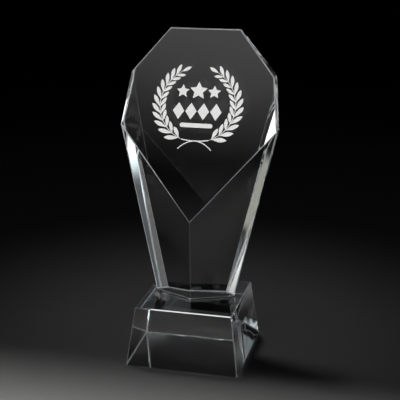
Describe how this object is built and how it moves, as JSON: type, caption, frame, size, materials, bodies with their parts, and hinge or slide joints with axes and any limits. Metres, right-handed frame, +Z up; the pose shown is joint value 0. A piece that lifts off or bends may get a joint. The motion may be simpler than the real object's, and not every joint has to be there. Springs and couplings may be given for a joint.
{
  "type": "crystal award",
  "caption": "Clear faceted crystal award: leaning body with an elongated octagon outline on a truncated-pyramid base, front engraved with a white laurel, stars and diamonds.",
  "frame": {"origin": "centre of the base's underside", "axes": "+Z up, -Y towards the engraved front, +X to the viewer's right when facing the front"},
  "size_m": [0.1104, 0.0792, 0.2264],
  "materials": {
    "crystal": "polished clear optical crystal",
    "cement": "clear cured adhesive",
    "enamel": "matte white fill in a frosted engraving"
  },
  "bodies": {
    "root": {"crystal_base": "crystal", "crystal_body": "crystal", "cement_film": "cement", "enamel_laurel_left": "enamel", "enamel_laurel_right": "enamel", "enamel_laurel_crossing": "enamel", "enamel_star_left": "enamel", "enamel_star_middle": "enamel", "enamel_star_right": "enamel", "enamel_diamond_outer_left": "enamel", "enamel_diamond_inner_left": "enamel", "enamel_diamond_inner_right": "enamel", "enamel_diamond_outer_right": "enamel", "enamel_bar": "enamel"}
  },
  "joints": []
}
